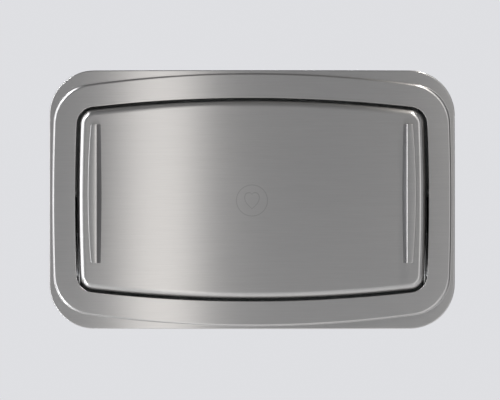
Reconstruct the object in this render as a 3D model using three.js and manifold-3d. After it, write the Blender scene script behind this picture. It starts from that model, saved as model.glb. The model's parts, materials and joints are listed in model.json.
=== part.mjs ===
// A horizontal baby changing station for recessing in a wall: a steel box, a bowed steel trim
// frame round its mouth, and a bed that folds down out of it on two side hinges, each with a
// gas strut. Millimetres. +X is to the right, +Y is into the wall and +Z is up. The origin is
// on the finished wall, half way along the bottom of the box's flange.
// The shapes are worked out about the middle of the unit, which the unit group lifts into place.

import * as THREE from "three";
import { mergeVertices } from "three/addons/utils/BufferGeometryUtils.js";
import Module from "manifold-3d";

const wasm = await Module();
wasm.setup();

// ---- Driving sizes ----

// Trim frame
const trimWidth = 943;
const trimHeight = 602;
const trimCorner = 104; // corner radius of the flat rim
const rimFront = -3.5; // front face of the rim; the wall is at 0
const rimRound = 2.5;
const landFront = -9.5; // front face of the raised land
const landRound = 4;
const landSideInset = 8.8; // rim width at the middle of the sides
const landTopInset = 7.9; // rim width at the middle of the top and bottom
const landCrown = 2755; // radius of the land's bowed top and bottom
const landSide = 5300; // radius of the land's bowed sides
const landCorner = 90;
const sideBand = 60.5; // from the outer edge to the mouth, at the sides
const topBand = 64.5;
const mouthCrown = 3300;
const mouthSide = 4300;
const mouthCorner = 41;
const trimSheet = 1.2;
const lipBack = 0.8; // how far the mouth's return lip reaches into the wall

// Wall box
const boxDepth = 98;
const boxMargin = 25; // from the mouth to the outside of the box, at the sides
const boxTopMargin = 29.5;
const boxSheet = 1.2;
const boxCorner = 30;
const beadHigh = 3; // pressed stiffening beads on the back
const beadWide = 34;
const beadSpacing = 262;
const beadEndClear = 70;
const wallHoleRadius = 3.5;
const wallHoleInset = 95; // from the box's ends to the wall screw holes
const wallHoleDepth = 74;
const flangeInset = 15; // from the trim's outer edge to the edge of the box's flange

// Bed: door skin and moulded tray
const doorGap = 7;
const doorFront = -15;
const doorRound = 15.5;
const skinSheet = 1;
const skinBack = 1.4;
const trayRim = 62; // how deep the tray's rim stands in the recess
const trayWall = 4;
const rimWide = 20;
const cradleRun = 60; // how far the cradle's sides curve in from rim to deck
const cradleRise = 66;
const deckCorner = 25;

// Handles
const handleInset = 55; // from the door's side edge to the web's foot
const handleTopClear = 55;
const handleFootClear = 82.7;
const handleStand = 25; // how far the grip stands off the door
const handleLean = 9.5;
const handleGrip = 21.5;
const handleLip = 10;
const handleFlange = 22;
const handleSheet = 2;
const handleBow = 1850; // radius of the grip's bowed outer edge

// Hinges
const hingeHeight = 57; // above the door's lowest point
const hingeY = 14;
const hingePinRadius = 5;
const armThick = 3;
const armInset = 3.8; // from the door's side edge to the arm's inner face
const armBoss = 11;
const armTall = 92;
const armDeep = 30;
const padThick = 7; // of the tray's pads behind the arms
const crankReach = 45;
const crankEnd = 8;
const bracketThick = 3;
const bracketGap = 1.8; // between arm and bracket
const bracketBoss = 12.5;
const bracketLow = 24;
const bracketHigh = 94;
const footWide = 25;
const bushWall = 2;

// Gas struts
const strutY = 30; // upper pivot from the hinge axis
const strutZ = 190;
const strutX = 18; // from the arm's inner face to the strut's centreline
const cylinderRadius = 9;
const cylinderWall = 1.5;
const cylinderCap = 4;
const rodRadius = 4;
const rodEngaged = 70; // how far the closed bed's rod reaches into its cylinder
const eyeRadius = 9;
const eyeThick = 8;
const studRadius = 4;
const runGap = 0.4;

// Fittings inside the recess
const panelThick = 3;
const panelFoot = 90; // from the hinge axis to the bottom of the lining panel
const panelMargin = 22;
const dispenserWidth = 300;
const dispenserHeight = 110;
const dispenserDepth = 48;
const dispenserWall = 2.5;
const dispenserDrop = 125; // from the box's top to the dispenser's lid
const slotWide = 180;
const slotHigh = 30;
const lidThick = 2.5;
const lidSkirt = 18;
const lockRadius = 6.2;
const lockLength = 12;
const plugRadius = 4.6;
const camReach = 14;
const camNotch = 18; // width of the notch that the unlocked cam passes through
const hookSpread = 255;
const hookWide = 18;
const bumperSpread = 250;
const bumperRadius = 9;

// Safety strap
const webWide = 50;
const webThick = 1.6;
const anchorInset = 14; // from the flat deck's edge to the anchor screw
const buckleLong = 40;
const buckleWide = 57;
const tailClear = 18;

const gap = 0.3; // between pieces that touch
const arcSteps = 4;
const roundSteps = 2;
const roundSides = 16;

// ---- Sizes that follow ----

const mouth = {
  halfWidth: trimWidth / 2 - sideBand,
  halfHeight: trimHeight / 2 - topBand,
  crown: mouthCrown,
  side: mouthSide,
  corner: mouthCorner,
};
const land = {
  halfWidth: trimWidth / 2 - landSideInset,
  halfHeight: trimHeight / 2 - landTopInset,
  crown: landCrown,
  side: landSide,
  corner: landCorner,
};
const door = grow(mouth, -doorGap);
const tray = grow(door, -skinSheet - gap);
const trayFront = doorFront + skinSheet + gap;
const deckFront = trayFront + trayWall;
const deck = { ...grow(tray, -rimWide - cradleRun), corner: deckCorner };
const boxHalfWidth = mouth.halfWidth + boxMargin;
const boxHalfHeight = mouth.halfHeight + boxTopMargin;
const boxBackInside = boxDepth - boxSheet;
const hingeZ = -door.halfHeight + hingeHeight;
const armX = door.halfWidth - armInset; // inner face of the hinge arm
const bracketX = armX + armThick + bracketGap;
const strutCentreX = armX + strutX;
const panelBack = boxBackInside - gap;
const panelFront = panelBack - panelThick;
const panelLow = hingeZ + panelFoot;
const panelHigh = boxHalfHeight - panelMargin;
const dispenserTop = boxHalfHeight - dispenserDrop;
const dispenserBack = panelFront - gap;
const dispenserFront = dispenserBack - dispenserDepth;
const lidAxisY = dispenserBack - 4.5;
const lidAxisZ = dispenserTop + 4;
const lockZ = dispenserTop - 8;
const deckHalf = deck.halfHeight;
const webFront = deckFront + gap; // face of the webbing that lies on the deck

// ---- Outlines, in the XZ plane ----

// The same outline moved outwards by a distance, or inwards if it is negative.
function grow(outline, by) {
  return Object.fromEntries(Object.entries(outline).map(([key, size]) => [key, size + by]));
}

// Four bowed sides joined by round corners. The half sizes are measured on the axes. A corner's
// centre is where a circle inside the bowed top and one inside the bowed side meet.
function barrel({ halfWidth, halfHeight, crown, side, corner }) {
  const crownY = halfHeight - crown;
  const sideX = halfWidth - side;
  const fromCrown = crown - corner;
  const fromSide = side - corner;
  const apart = Math.hypot(sideX, crownY);
  const along = (fromCrown ** 2 - fromSide ** 2 + apart ** 2) / (2 * apart);
  const across = Math.sqrt(fromCrown ** 2 - along ** 2);
  const toSide = new THREE.Vector2(sideX, -crownY).divideScalar(apart);
  const x = toSide.x * along + toSide.y * across;
  const y = crownY + toSide.y * along - toSide.x * across;
  const sideAngle = Math.atan2(y, x - sideX);
  const crownAngle = Math.atan2(y - crownY, x);
  const shape = new THREE.Shape();
  shape.absarc(sideX, 0, side, -sideAngle, sideAngle, false);
  shape.absarc(x, y, corner, sideAngle, crownAngle, false);
  shape.absarc(0, crownY, crown, crownAngle, Math.PI - crownAngle, false);
  shape.absarc(-x, y, corner, Math.PI - crownAngle, Math.PI - sideAngle, false);
  shape.absarc(-sideX, 0, side, Math.PI - sideAngle, Math.PI + sideAngle, false);
  shape.absarc(-x, -y, corner, Math.PI + sideAngle, Math.PI + crownAngle, false);
  shape.absarc(0, -crownY, crown, Math.PI + crownAngle, 2 * Math.PI - crownAngle, false);
  shape.absarc(x, -y, corner, 2 * Math.PI - crownAngle, 2 * Math.PI - sideAngle, false);
  return shape;
}

function roundRect(halfWidth, halfHeight, corner) {
  const x = halfWidth - corner;
  const y = halfHeight - corner;
  const shape = new THREE.Shape();
  shape.absarc(x, -y, corner, -Math.PI / 2, 0, false);
  shape.absarc(x, y, corner, 0, Math.PI / 2, false);
  shape.absarc(-x, y, corner, Math.PI / 2, Math.PI, false);
  shape.absarc(-x, -y, corner, Math.PI, Math.PI * 1.5, false);
  return shape;
}

function polygon(points) {
  return new THREE.Shape(points.map(([x, y]) => new THREE.Vector2(x, y)));
}

// ---- Solids ----

function solidOf(geometry) {
  const bare = geometry.index ? geometry.toNonIndexed() : geometry.clone();
  bare.deleteAttribute("normal");
  bare.deleteAttribute("uv");
  const merged = mergeVertices(bare, 1e-3);
  return new wasm.Manifold(
    new wasm.Mesh({
      numProp: 3,
      vertProperties: merged.attributes.position.array,
      triVerts: new Uint32Array(merged.index.array),
    }),
  );
}

function geometryOf(solid) {
  const made = solid.getMesh();
  const geometry = new THREE.BufferGeometry();
  geometry.setAttribute("position", new THREE.BufferAttribute(made.vertProperties, 3));
  geometry.setIndex(new THREE.BufferAttribute(made.triVerts, 1));
  geometry.computeVertexNormals();
  return geometry;
}

// An outline in the XZ plane, from front to back along Y. The front edge is rounded: it stands
// deep along Y and wide across, inside the outline, or outside it where flare is true.
function slab(shape, front, back, { deep = 0, wide = deep, flare = false } = {}) {
  const geometry = new THREE.ExtrudeGeometry(shape, {
    depth: back - front,
    curveSegments: arcSteps,
    bevelEnabled: deep > 0,
    bevelThickness: deep,
    bevelSize: wide,
    bevelOffset: flare ? 0 : -wide,
    bevelSegments: roundSteps,
  });
  geometry.rotateX(Math.PI / 2).translate(0, back + deep, 0);
  const made = solidOf(geometry);
  return deep > 0 ? made.subtract(block([-1000, back, -1000], [1000, back + 1000, 1000])) : made;
}

// An outline in the YZ plane, from low to high along X.
function cut(shape, low, high) {
  const geometry = new THREE.ExtrudeGeometry(shape, {
    depth: high - low,
    curveSegments: arcSteps,
    bevelEnabled: false,
  });
  const turn = new THREE.Matrix4().makeBasis(
    new THREE.Vector3(0, 1, 0),
    new THREE.Vector3(0, 0, 1),
    new THREE.Vector3(1, 0, 0),
  );
  return solidOf(geometry.applyMatrix4(turn).translate(low, 0, 0));
}

function block(low, high) {
  const size = high.map((value, i) => value - low[i]);
  const geometry = new THREE.BoxGeometry(...size);
  return solidOf(geometry.translate(...low.map((value, i) => value + size[i] / 2)));
}

// A round bar along an axis ("x", "y" or "z"), from low to high, about a centre line.
function bar(axis, radius, low, high, centre = [0, 0], sides = roundSides) {
  const geometry = new THREE.CylinderGeometry(radius, radius, high - low, sides);
  geometry.translate(0, (low + high) / 2, 0);
  const [u, v] = centre;
  if (axis === "x") geometry.rotateZ(-Math.PI / 2).translate(0, u, v);
  if (axis === "y") geometry.translate(u, 0, v);
  if (axis === "z") geometry.rotateX(Math.PI / 2).translate(u, v, 0);
  return solidOf(geometry);
}

function ring(axis, outer, inner, low, high, centre = [0, 0]) {
  return bar(axis, outer, low, high, centre).subtract(bar(axis, inner, low - 1, high + 1, centre));
}

function join(...solids) {
  return solids.reduce((whole, piece) => whole.add(piece));
}

// ---- Materials ----

function material(color, roughness, metalness) {
  return new THREE.MeshStandardMaterial({ color, roughness, metalness });
}
const brushed = material(0xa7a4a0, 0.35, 1);
const galvanised = material(0x9aa0a3, 0.5, 1);
const plated = material(0xb9bcc0, 0.3, 1);
const greyPlastic = material(0xc9cbca, 0.6, 0);
const darkPlastic = material(0x3b3e42, 0.5, 0);
const webbing = material(0x2b2d31, 0.9, 0);
const blackRubber = material(0x1c1c1d, 0.8, 0);
const blackPaint = material(0x17181a, 0.4, 0.3);
const paper = material(0xf0efe9, 0.9, 0);

// ---- Scene tree ----

const station = new THREE.Group();
const unit = new THREE.Group();
unit.position.z = (boxHalfHeight + trimHeight / 2 - flangeInset) / 2;
station.add(unit);

function place(name, solid, finish, parent = unit) {
  const mesh = new THREE.Mesh(geometryOf(solid), finish);
  mesh.name = name;
  parent.add(mesh);
  return mesh;
}

// A right-hand piece and its mirror image.
function placePair(name, solid, finish, parent = unit) {
  place(name + "_right", solid, finish, parent);
  place(name + "_left", solid, finish, parent).scale.x = -1;
}

// ---- Fixed frame ----

// Formed sheet: a flat rim, a raised land and a return lip round the mouth.
function trimFrame() {
  const halfWidth = trimWidth / 2;
  const halfHeight = trimHeight / 2;
  const rimInner = roundRect(halfWidth - trimSheet, halfHeight - trimSheet, trimCorner - trimSheet);
  const lip = slab(barrel(grow(mouth, trimSheet)), landFront, lipBack);
  const outside = join(
    slab(roundRect(halfWidth, halfHeight, trimCorner), rimFront, 0, { deep: rimRound }),
    slab(barrel(land), landFront, 0, { deep: landRound }),
    lip,
  );
  const inside = join(
    slab(rimInner, rimFront + trimSheet, lipBack + 1),
    slab(barrel(grow(land, -trimSheet)), landFront + trimSheet, lipBack + 1, {
      deep: landRound - trimSheet,
    }),
  );
  const through = slab(barrel(mouth), landFront - 1, lipBack + 1);
  return outside.subtract(inside.subtract(lip)).subtract(through);
}

// A pan with a flange round its mouth, beads pressed in its back and screw holes in its ends.
function wallBox() {
  const beadHalf = boxHalfHeight - beadEndClear;
  const innerHalf = beadWide / 2 - boxSheet;
  const flange = roundRect(
    trimWidth / 2 - flangeInset,
    trimHeight / 2 - flangeInset,
    trimCorner - flangeInset,
  );
  let pan = slab(roundRect(boxHalfWidth, boxHalfHeight, boxCorner), -boxSheet, boxDepth).add(
    slab(flange, -boxSheet, 0),
  );
  let hollow = slab(
    roundRect(boxHalfWidth - boxSheet, boxHalfHeight - boxSheet, boxCorner - boxSheet),
    -boxSheet - 1,
    boxBackInside,
  );
  for (const column of [-1, 0, 1]) {
    const outer = slab(roundRect(beadWide / 2, beadHalf, beadWide / 2), boxBackInside, boxDepth + beadHigh);
    const inner = slab(
      roundRect(innerHalf, beadHalf - boxSheet, innerHalf),
      boxBackInside - 1,
      boxBackInside + beadHigh,
    );
    pan = pan.add(outer.translate([column * beadSpacing, 0, 0]));
    hollow = hollow.add(inner.translate([column * beadSpacing, 0, 0]));
  }
  pan = pan.subtract(hollow);
  for (const z of [-boxHalfHeight + wallHoleInset, boxHalfHeight - wallHoleInset]) {
    pan = pan.subtract(
      bar("x", wallHoleRadius, -boxHalfWidth - 1, boxHalfWidth + 1, [wallHoleDepth, z], 12),
    );
  }
  return pan;
}

// A moulded lining sheet with a turned edge, behind the dispenser and the hooks.
function backPanel() {
  const halfWidth = boxHalfWidth - panelMargin * 2;
  const halfHeight = (panelHigh - panelLow) / 2;
  const turned = 6;
  const sheet = slab(roundRect(halfWidth, halfHeight, 20), panelFront, panelBack);
  const edge = slab(roundRect(halfWidth, halfHeight, 20), panelFront - turned, panelBack).subtract(
    slab(roundRect(halfWidth - panelThick, halfHeight - panelThick, 17), -1, panelBack + 1),
  );
  return sheet.add(edge).translate([0, 0, (panelLow + panelHigh) / 2]);
}

// ---- Hinges ----

// Plate from the hinge axis up and back to the box, with a foot bolted to the back wall.
function hingeBracket() {
  const back = boxBackInside - gap - hingeY;
  const side = polygon([
    [-bracketBoss, 0],
    [-bracketBoss * 0.7, bracketBoss * 0.9],
    [back - 30, bracketHigh],
    [back, bracketHigh],
    [back, bracketLow],
    [bracketBoss * 1.6, bracketLow * 0.35],
  ]);
  const plate = cut(side, bracketX, bracketX + bracketThick).add(
    bar("x", bracketBoss, bracketX, bracketX + bracketThick),
  );
  const foot = block(
    [bracketX, back - bracketThick, bracketLow],
    [bracketX + footWide, back, bracketHigh],
  );
  const bore = bar("x", hingePinRadius + bushWall + 2 * gap, bracketX - 1, bracketX + bracketThick + 1);
  return plate.add(foot).subtract(bore).translate([0, hingeY, hingeZ]);
}

function hingeBush() {
  const flange = 1.2;
  const sleeveEnd = bracketX + bracketThick + 0.2;
  const bore = hingePinRadius + gap;
  const outer = bore + bushWall - gap;
  return ring("x", outer + 2, bore, bracketX - gap - flange, bracketX - gap)
    .add(ring("x", outer, bore, bracketX - gap, sleeveEnd))
    .translate([0, hingeY, hingeZ]);
}

// Bolt through the bracket's foot: a hexagon head on a washer.
function hingeBolt(z) {
  const face = boxBackInside - gap - bracketThick - gap;
  const centre = [bracketX + footWide * 0.6, hingeZ + z];
  return bar("y", 6.5, face - 1.2, face, centre).add(bar("y", 5, face - 5.2, face - 1.2, centre, 6));
}

// The bed's side of the hinge: a plate on the tray's end, and a crank for the gas strut.
function hingeArm() {
  const side = polygon([
    [-armBoss, 0],
    [-armBoss, armTall],
    [armDeep, armTall],
    [armDeep, crankReach * 0.5],
    [armBoss, 0],
    [crankEnd, -crankReach],
    [-crankEnd, -crankReach],
  ]);
  const high = armX + armThick;
  return join(
    cut(side, armX, high),
    bar("x", armBoss + 1, armX, high),
    bar("x", crankEnd, armX, high, [0, -crankReach]),
  )
    .subtract(bar("x", hingePinRadius + gap, armX - 1, high + 1))
    .translate([0, hingeY, hingeZ]);
}

function armScrew(z) {
  const face = armX + armThick + gap;
  return bar("x", 6, face, face + 1, [hingeY + armDeep / 2, hingeZ + z], 12);
}

function hingePin() {
  return bar("x", hingePinRadius, armX, bracketX + bracketThick + 3, [hingeY, hingeZ]);
}

function retainingRing() {
  const low = bracketX + bracketThick + 0.6;
  return ring("x", 8.5, hingePinRadius + gap, low, low + 1.4, [hingeY, hingeZ]);
}

// ---- Gas struts ----

const strutReach = Math.hypot(strutY, strutZ + crankReach); // with the bed closed
const strutStroke = strutReach - Math.hypot(strutY - crankReach, strutZ);
const strutLean = -Math.atan2(strutY, strutZ + crankReach);
const cylinderTop = -eyeRadius - 3;
// The piston meets the cylinder's cap when the bed is flat, and so stops it there.
const cylinderFoot = cylinderTop - cylinderCap - runGap - strutStroke - rodEngaged;

// Base plate on the box's end, with the stud that the strut hangs on.
function strutBracket() {
  const wall = boxHalfWidth - boxSheet - gap;
  const centre = [hingeY + strutY, hingeZ + strutZ];
  const base = block(
    [wall - 3, centre[0] - 18, centre[1] - 22],
    [wall, centre[0] + 18, centre[1] + 22],
  );
  const eyeLow = strutCentreX - eyeThick / 2;
  return join(
    base,
    bar("x", studRadius, eyeLow - runGap - 1, wall - 2, centre),
    bar("x", studRadius + 2.5, eyeLow - runGap - 2.5, eyeLow - runGap, centre, 12),
  );
}

// An eye with a hole for a stud, about the X axis.
function strutEye() {
  const half = eyeThick / 2;
  return ring("x", eyeRadius, studRadius + runGap, -half, half);
}

// Hangs down from its eye: the barrel, closed at the top, with the rod's guide at its foot.
function strutCylinder() {
  const bore = cylinderRadius - cylinderWall;
  return join(
    strutEye(),
    bar("z", 5, cylinderTop - 1, -eyeRadius + 2, [0, 0], 12),
    bar("z", cylinderRadius, cylinderFoot, cylinderTop),
  )
    .subtract(bar("z", bore, cylinderFoot + 8, cylinderTop - cylinderCap))
    .subtract(bar("z", rodRadius + runGap, cylinderFoot - 1, cylinderFoot + 10));
}

// The eye, the polished rod and the piston on its upper end.
function strutRod() {
  const top = cylinderFoot + rodEngaged;
  return join(
    strutEye().translate([0, 0, -strutReach]),
    bar("z", 5, -strutReach + eyeRadius - 2, -strutReach + eyeRadius + 8, [0, 0], 12),
    bar("z", rodRadius, -strutReach + eyeRadius, top),
    bar("z", cylinderRadius - cylinderWall - runGap, top - 8, top),
  );
}

// Stud between the crank and the rod's eye.
function crankStud() {
  const centre = [hingeY, hingeZ - crankReach];
  const low = armX + armThick + runGap;
  const eyeLow = strutCentreX - eyeThick / 2;
  return join(
    bar("x", studRadius, low, strutCentreX + eyeThick / 2 + 3, centre),
    bar("x", studRadius + 2.5, low, eyeLow - runGap, centre, 12),
    bar("x", studRadius + 2.5, strutCentreX + eyeThick / 2 + runGap, strutCentreX + eyeThick / 2 + 3, centre, 12),
  );
}

function crankNut() {
  return bar("x", 6.5, armX - gap - 5, armX - gap, [hingeY, hingeZ - crankReach], 6);
}

// ---- Bed ----

function doorSkin() {
  return slab(barrel(door), doorFront, skinBack, { deep: doorRound }).subtract(
    slab(barrel(grow(door, -skinSheet)), doorFront + skinSheet, skinBack + 1, {
      deep: doorRound - skinSheet,
    }),
  );
}

// One moulding of even wall: a cradle with its deck against the door, a flat rim and outer walls.
function bedTray() {
  const cradle = { deep: cradleRise, wide: cradleRun, flare: true };
  const outer = slab(barrel(tray), trayFront, trayRim, { deep: doorRound - skinSheet });
  const hollow = slab(barrel(deck), deckFront, trayRim + 1, cradle);
  const under = slab(barrel(grow(tray, -trayWall)), trayFront - 1, trayRim - trayWall).subtract(
    slab(barrel(grow(deck, trayWall)), trayFront, trayRim + 1, cradle),
  );
  // Each end has a flat pad for its hinge arm, and nothing outside the pad in the arm's way.
  const low = hingeZ - armBoss - 2;
  const beside = (from, to, foot) =>
    block([from, skinBack + gap, foot], [to, hingeY + armDeep + 2, hingeZ + armTall + 2]);
  const face = armX - gap;
  const edge = door.halfWidth + 5;
  return outer
    .subtract(hollow)
    .subtract(under)
    .add(beside(face - padThick, face, low))
    .add(beside(-face, -face + padThick, low))
    .subtract(beside(face, edge, hingeZ - hingeHeight))
    .subtract(beside(-edge, -face, hingeZ - hingeHeight))
    .subtract(anchorHole(-1))
    .subtract(anchorHole(1));
}

// A channel open to the door's edge: foot flange, leaning web, grip and lip, with closed ends.
// It is drawn in plan with the web's foot at 0 and the height off the door along -Y.
function handle() {
  const low = -door.halfHeight + handleFootClear;
  const high = door.halfHeight - handleTopClear;
  const middle = (low + high) / 2;
  const tip = handleLean + handleGrip;
  const lean = handleLean / handleStand;
  const web = handleSheet * Math.hypot(1, lean);
  const webInner = (stand) => web + stand * lean;
  const channel = polygon([
    [0, 0],
    [handleLean, -handleStand],
    [tip, -handleStand],
    [tip, -handleStand + handleLip],
    [tip - handleSheet, -handleStand + handleLip],
    [tip - handleSheet, -handleStand + handleSheet],
    [webInner(handleStand - handleSheet), -handleStand + handleSheet],
    [webInner(handleSheet), -handleSheet],
    [handleFlange, -handleSheet],
    [handleFlange, 0],
  ]);
  const closed = polygon([
    [0, 0],
    [handleLean, -handleStand],
    [tip, -handleStand],
    [tip, -handleStand + handleLip],
    [handleFlange, 0],
  ]);
  const along = (shape, from, to) =>
    solidOf(
      new THREE.ExtrudeGeometry(shape, { depth: to - from, bevelEnabled: false }).translate(0, 0, from),
    );
  const bowHalf = Math.asin((high - low) / 2 / handleBow);
  const plan = new THREE.Shape();
  plan.absarc(tip - handleBow, 0, handleBow, -bowHalf, bowHalf, false);
  plan.lineTo(-1, high - middle);
  plan.lineTo(-1, low - middle);
  const bowed = slab(plan, -handleStand - 1, 1).translate([0, 0, middle]);
  return join(
    along(channel, low, high),
    along(closed, low, low + handleSheet),
    along(closed, high - handleSheet, high),
  )
    .intersect(bowed)
    .translate([door.halfWidth - handleInset, doorFront - gap, 0]);
}

// ---- Safety strap ----

// side is -1 for the lower anchor, by the hinge, and 1 for the upper one.
function anchorZ(side) {
  return side * (deckHalf - anchorInset);
}

function anchorHole(side) {
  return bar("y", 3 + gap, trayFront - 2, 8, [0, anchorZ(side)], 12);
}

function strapAnchor(side) {
  const z = anchorZ(side);
  const front = webFront + webThick + gap;
  return block([-30, front, z - 11], [30, front + 2, z + 11]).subtract(anchorHole(side));
}

function anchorScrew(side) {
  const head = webFront + webThick + 2 + 2 * gap;
  const centre = [0, anchorZ(side)];
  return bar("y", 3, trayFront + gap, head + 1, centre, 12).add(
    bar("y", 5.5, head, head + 2.6, centre, 12),
  );
}

// A strip of webbing that follows points in the YZ plane, one thickness deep along Y.
function web(points) {
  const back = points.map(([y, z]) => [y + webThick, z]).reverse();
  return cut(polygon([...points, ...back]), -webWide / 2, webWide / 2);
}

// Fixed half: from the lower anchor to the buckle's foot.
function strapLower() {
  return web([
    [webFront, anchorZ(-1) - 11],
    [webFront, -buckleLong / 2 - gap],
  ]).subtract(anchorHole(-1));
}

// Adjustable half: from the upper anchor down through the buckle, and on as the free tail.
function strapUpper() {
  const over = webFront + 1.5 + gap;
  const tail = webFront + webThick + gap;
  return web([
    [webFront, anchorZ(1) + 11],
    [webFront, buckleLong / 2 + 12],
    [over, buckleLong / 2 + 2],
    [over, -buckleLong / 2],
    [tail, -buckleLong / 2 - 6],
    [tail, anchorZ(-1) + 11 + tailClear],
  ]).subtract(anchorHole(1));
}

const leverY = webFront + 10;
const leverZ = 5;

// Base plate and two ears that carry the cam lever.
function buckleBase() {
  const half = buckleWide / 2;
  const long = buckleLong / 2;
  const plate = block([-half, webFront, -long], [half, webFront + 1.5, long]);
  const ear = polygon([
    [webFront, -long],
    [webFront + 4, -long],
    [leverY + 4, leverZ - 5],
    [leverY + 4, leverZ + 4],
    [webFront + 4, long],
    [webFront, long],
  ]);
  return join(plate, cut(ear, half - 1.5, half), cut(ear, -half, -half + 1.5)).subtract(
    bar("x", 2 + runGap, -half - 1, half + 1, [leverY, leverZ], 12),
  );
}

function camLever() {
  const half = buckleWide / 2;
  const flap = polygon([
    [leverY + 1, leverZ + 4],
    [leverY + 4, leverZ + 4],
    [leverY + 4, leverZ - 20],
    [leverY + 6.5, leverZ - 32],
    [leverY + 4.5, leverZ - 33],
    [leverY + 1, leverZ - 21],
  ]);
  return join(
    cut(flap, -half + 2.5, half - 2.5),
    bar("x", 5, -half + 2.5, half - 2.5, [leverY, leverZ], 12),
    bar("x", 2, -half + 0.2, half - 0.2, [leverY, leverZ], 12),
  );
}

// ---- Liner dispenser ----

function linerDispenser() {
  const half = dispenserWidth / 2;
  const low = dispenserTop - dispenserHeight;
  const t = dispenserWall;
  const earZ = lidAxisZ + 4;
  const shell = block([-half, dispenserFront, low], [half, dispenserBack, dispenserTop]).subtract(
    block([-half + t, dispenserFront + t, low + t], [half - t, dispenserBack - t, dispenserTop + 1]),
  );
  const ledgeBack = dispenserFront + lockLength + 6;
  const ledge = block([-half, dispenserFront, dispenserTop - t], [half, ledgeBack, dispenserTop]);
  const slot = roundRect(slotWide / 2, slotHigh / 2, slotHigh / 2);
  const slotZ = low + dispenserHeight * 0.42;
  const ears = join(
    block([-half, lidAxisY - 4, dispenserTop - 1], [-half + 4, dispenserBack, earZ]),
    block([half - 4, lidAxisY - 4, dispenserTop - 1], [half, dispenserBack, earZ]),
  );
  return shell
    .add(ears)
    .add(ledge)
    .subtract(slab(slot, dispenserFront - 1, dispenserFront + t + 1).translate([0, 0, slotZ]))
    .subtract(
      block(
        [-camNotch / 2, dispenserFront - 1, lockZ - camNotch / 2],
        [camNotch / 2, ledgeBack + 1, dispenserTop + 1],
      ),
    )
    .subtract(bar("x", 1.5 + runGap, -half - 1, half + 1, [lidAxisY, lidAxisZ], 12));
}

function linerPack() {
  const low = dispenserTop - dispenserHeight + dispenserWall + gap;
  return block(
    [-slotWide / 2 - 20, dispenserFront + 14, low],
    [slotWide / 2 + 20, dispenserBack - dispenserWall - 4, low + dispenserHeight * 0.72],
  );
}

function dispenserLid() {
  const half = dispenserWidth / 2;
  const front = dispenserFront - gap - lidThick;
  const low = dispenserTop + gap;
  const top = block([-half, front, low], [half, lidAxisY - 7, low + lidThick]);
  const inner = block([-half + 5, lidAxisY - 8, low], [half - 5, lidAxisY, low + lidThick]);
  const skirt = block([-half, front, dispenserTop - lidSkirt], [half, front + lidThick, low + 1]);
  return join(top, inner, skirt, bar("x", 3.6, -half + 5, half - 5, [lidAxisY, lidAxisZ], 12))
    .subtract(bar("x", 1.5 + runGap, -half, half, [lidAxisY, lidAxisZ], 12))
    .subtract(bar("y", lockRadius + runGap, front - 1, front + lidThick + 1, [0, lockZ]));
}

function lidPin() {
  const half = dispenserWidth / 2;
  return bar("x", 1.5, -half + 0.5, half - 0.5, [lidAxisY, lidAxisZ], 12);
}

function lockBarrel() {
  const face = dispenserFront - gap - lidThick - gap;
  return ring("y", lockRadius + 2.5, plugRadius + runGap, face - 3, face, [0, lockZ]).add(
    ring("y", lockRadius, plugRadius + runGap, face, face + lockLength, [0, lockZ]),
  );
}

// Key plug with its cam, which hangs down in the notch while the lid is unlocked. A quarter
// turn swings the cam under the ledge.
function lockPlug() {
  const face = dispenserFront - 2 * gap - lidThick;
  const cam = face + lockLength + runGap;
  const keyway = block([-0.6, face - 4, lockZ - 3], [0.6, face - 2, lockZ + 3]);
  return join(
    bar("y", plugRadius, face - 3, cam + 2, [0, lockZ]),
    block([-4, cam, lockZ - camReach], [4, cam + 2, lockZ + 4]),
  ).subtract(keyway);
}

// ---- Hooks and bumpers ----

// A J of flat bar on a back plate, turned up at its end.
function bagHook() {
  const back = panelFront - gap;
  const side = polygon([
    [back, 62],
    [back, 0],
    [back - 3, 0],
    [back - 26, 4],
    [back - 32, 10],
    [back - 33, 24],
    [back - 29, 24],
    [back - 28, 12],
    [back - 24, 8],
    [back - 4, 5],
    [back - 4, 62],
  ]);
  const plate = block([-hookWide, back - 3, 6], [hookWide, back, 60]);
  return cut(side, -hookWide / 2, hookWide / 2).add(plate).translate([hookSpread, 0, 60]);
}

// Rubber stop between the lining panel and the closed bed's rim.
function bumper() {
  const drop = bumperSpread ** 2 / (2 * door.crown);
  const z = tray.halfHeight - drop - rimWide / 2;
  const centre = [bumperSpread, z];
  return bar("y", bumperRadius, trayRim + 0.5, panelFront - gap, centre, 12).add(
    bar("y", bumperRadius + 4, panelFront - gap - 3, panelFront - gap, centre, 12),
  );
}

// ---- Assembly ----

place("wall_box", wallBox(), galvanised);
place("trim_frame", trimFrame(), brushed);
place("back_panel", backPanel(), greyPlastic);
placePair("hinge_bracket", hingeBracket(), plated);
placePair("hinge_bush", hingeBush(), darkPlastic);
placePair("hinge_bolt_upper", hingeBolt(bracketHigh - 18), plated);
placePair("hinge_bolt_lower", hingeBolt(bracketLow + 14), plated);
placePair("strut_bracket", strutBracket(), plated);
place("liner_dispenser", linerDispenser(), darkPlastic);
place("liner_pack", linerPack(), paper);
place("lid_hinge_pin", lidPin(), plated);
placePair("bag_hook", bagHook(), brushed);
placePair("bumper", bumper(), blackRubber);

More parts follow.
